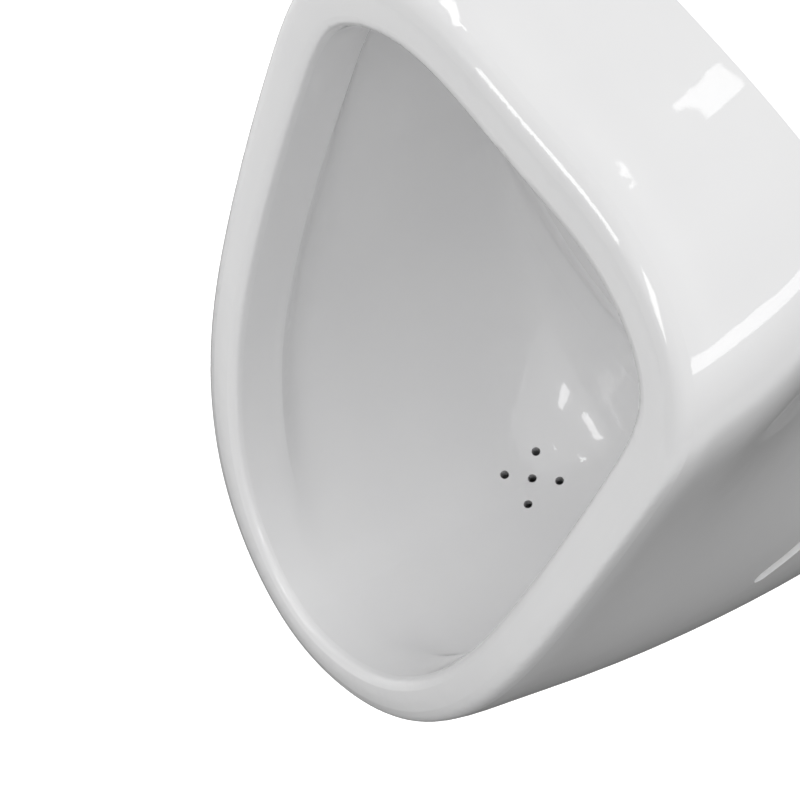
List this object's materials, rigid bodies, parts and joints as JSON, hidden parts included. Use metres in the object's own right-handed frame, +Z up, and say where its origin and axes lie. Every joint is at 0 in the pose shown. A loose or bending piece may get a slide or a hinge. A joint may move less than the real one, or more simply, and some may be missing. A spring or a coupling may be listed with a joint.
{
  "type": "wall hung urinal",
  "caption": "Wall hung urinal of glazed white china with a sloping oval rim, an integral sieve, a flush ledge, hidden hangers, side clamps, and a bottle trap in its hollow back.",
  "frame": {"origin": "on the wall plane, midway between the two upper fixing screws", "axes": "facing the urinal, +X is right, +Z is up and +Y points into the wall"},
  "size_m": [0.3542, 0.4412, 0.6833],
  "materials": {
    "glazed_china": "glazed vitreous china, fired white glaze",
    "zinc_steel": "zinc plated steel",
    "stainless": "stainless steel",
    "nylon": "nylon wall plug",
    "epdm": "moulded EPDM rubber",
    "pe_foam": "elastomer bearing pad",
    "chromed_brass": "chromed brass",
    "white_pp": "white polypropylene",
    "grey_pp": "grey polypropylene pipe"
  },
  "bodies": {
    "root": {"ceramic_body": "glazed_china", "left_hanger": "zinc_steel", "right_hanger": "zinc_steel", "hanger_pads": "pe_foam", "hanger_screws": "zinc_steel", "hanger_washers": "zinc_steel", "hanger_plugs": "nylon", "left_side_bracket": "zinc_steel", "right_side_bracket": "zinc_steel", "clip_nuts": "zinc_steel", "bracket_screws": "zinc_steel", "bracket_washers": "zinc_steel", "bracket_plugs": "nylon", "inlet_nipple": "chromed_brass", "inlet_cone_seal": "epdm", "trap_body": "white_pp", "dip_tube": "white_pp", "outlet_sleeve": "epdm", "sleeve_clamps": "stainless", "waste_pipe": "grey_pp", "waste_seal": "epdm", "wall_rosette": "white_pp"},
    "cup_seal": {"cup_seal": "epdm"},
    "trap_cup": {"trap_cup": "white_pp"},
    "left_clamp_washer": {"left_clamp_washer": "stainless"},
    "left_clamp_screw": {"left_clamp_screw": "stainless"},
    "right_clamp_washer": {"right_clamp_washer": "stainless"},
    "right_clamp_screw": {"right_clamp_screw": "stainless"},
    "front_worm_screw": {"front_worm_screw": "stainless"},
    "rear_worm_screw": {"rear_worm_screw": "stainless"}
  },
  "joints": [
    {"name": "cup_drop", "type": "slide", "parent": "root", "child": "cup_seal", "axis": [0, 0, -1], "range_m": [0, 0.0039]},
    {"name": "cup_turn", "type": "hinge", "parent": "cup_seal", "child": "trap_cup", "pos_m": [0, -0.046, -0.44], "axis": [0, 0, -1], "range_deg": [0, 468]},
    {"name": "left_clamp_out", "type": "slide", "parent": "root", "child": "left_clamp_washer", "axis": [-1, 0, 0], "range_m": [0, 0.004]},
    {"name": "left_clamp_turn", "type": "hinge", "parent": "left_clamp_washer", "child": "left_clamp_screw", "pos_m": [-0.165, -0.07, -0.257], "axis": [-1, 0, 0], "range_deg": [0, 1440.1]},
    {"name": "right_clamp_out", "type": "slide", "parent": "root", "child": "right_clamp_washer", "axis": [1, 0, 0], "range_m": [0, 0.004]},
    {"name": "right_clamp_turn", "type": "hinge", "parent": "right_clamp_washer", "child": "right_clamp_screw", "pos_m": [0.165, -0.07, -0.257], "axis": [1, 0, 0], "range_deg": [0, 1440.1]},
    {"name": "front_worm_turn", "type": "hinge", "parent": "root", "child": "front_worm_screw", "pos_m": [0, -0.114, -0.4291], "axis": [1, 0, 0], "continuous": true},
    {"name": "rear_worm_turn", "type": "hinge", "parent": "root", "child": "rear_worm_screw", "pos_m": [0, -0.087, -0.4291], "axis": [1, 0, 0], "continuous": true}
  ],
  "couplings": [
    {"joint": "cup_drop", "follows": "cup_turn", "m_per_rad": 0.00047746},
    {"joint": "left_clamp_turn", "follows": "left_clamp_out", "rad_per_m": 6283.2},
    {"joint": "right_clamp_turn", "follows": "right_clamp_out", "rad_per_m": 6283.2}
  ]
}
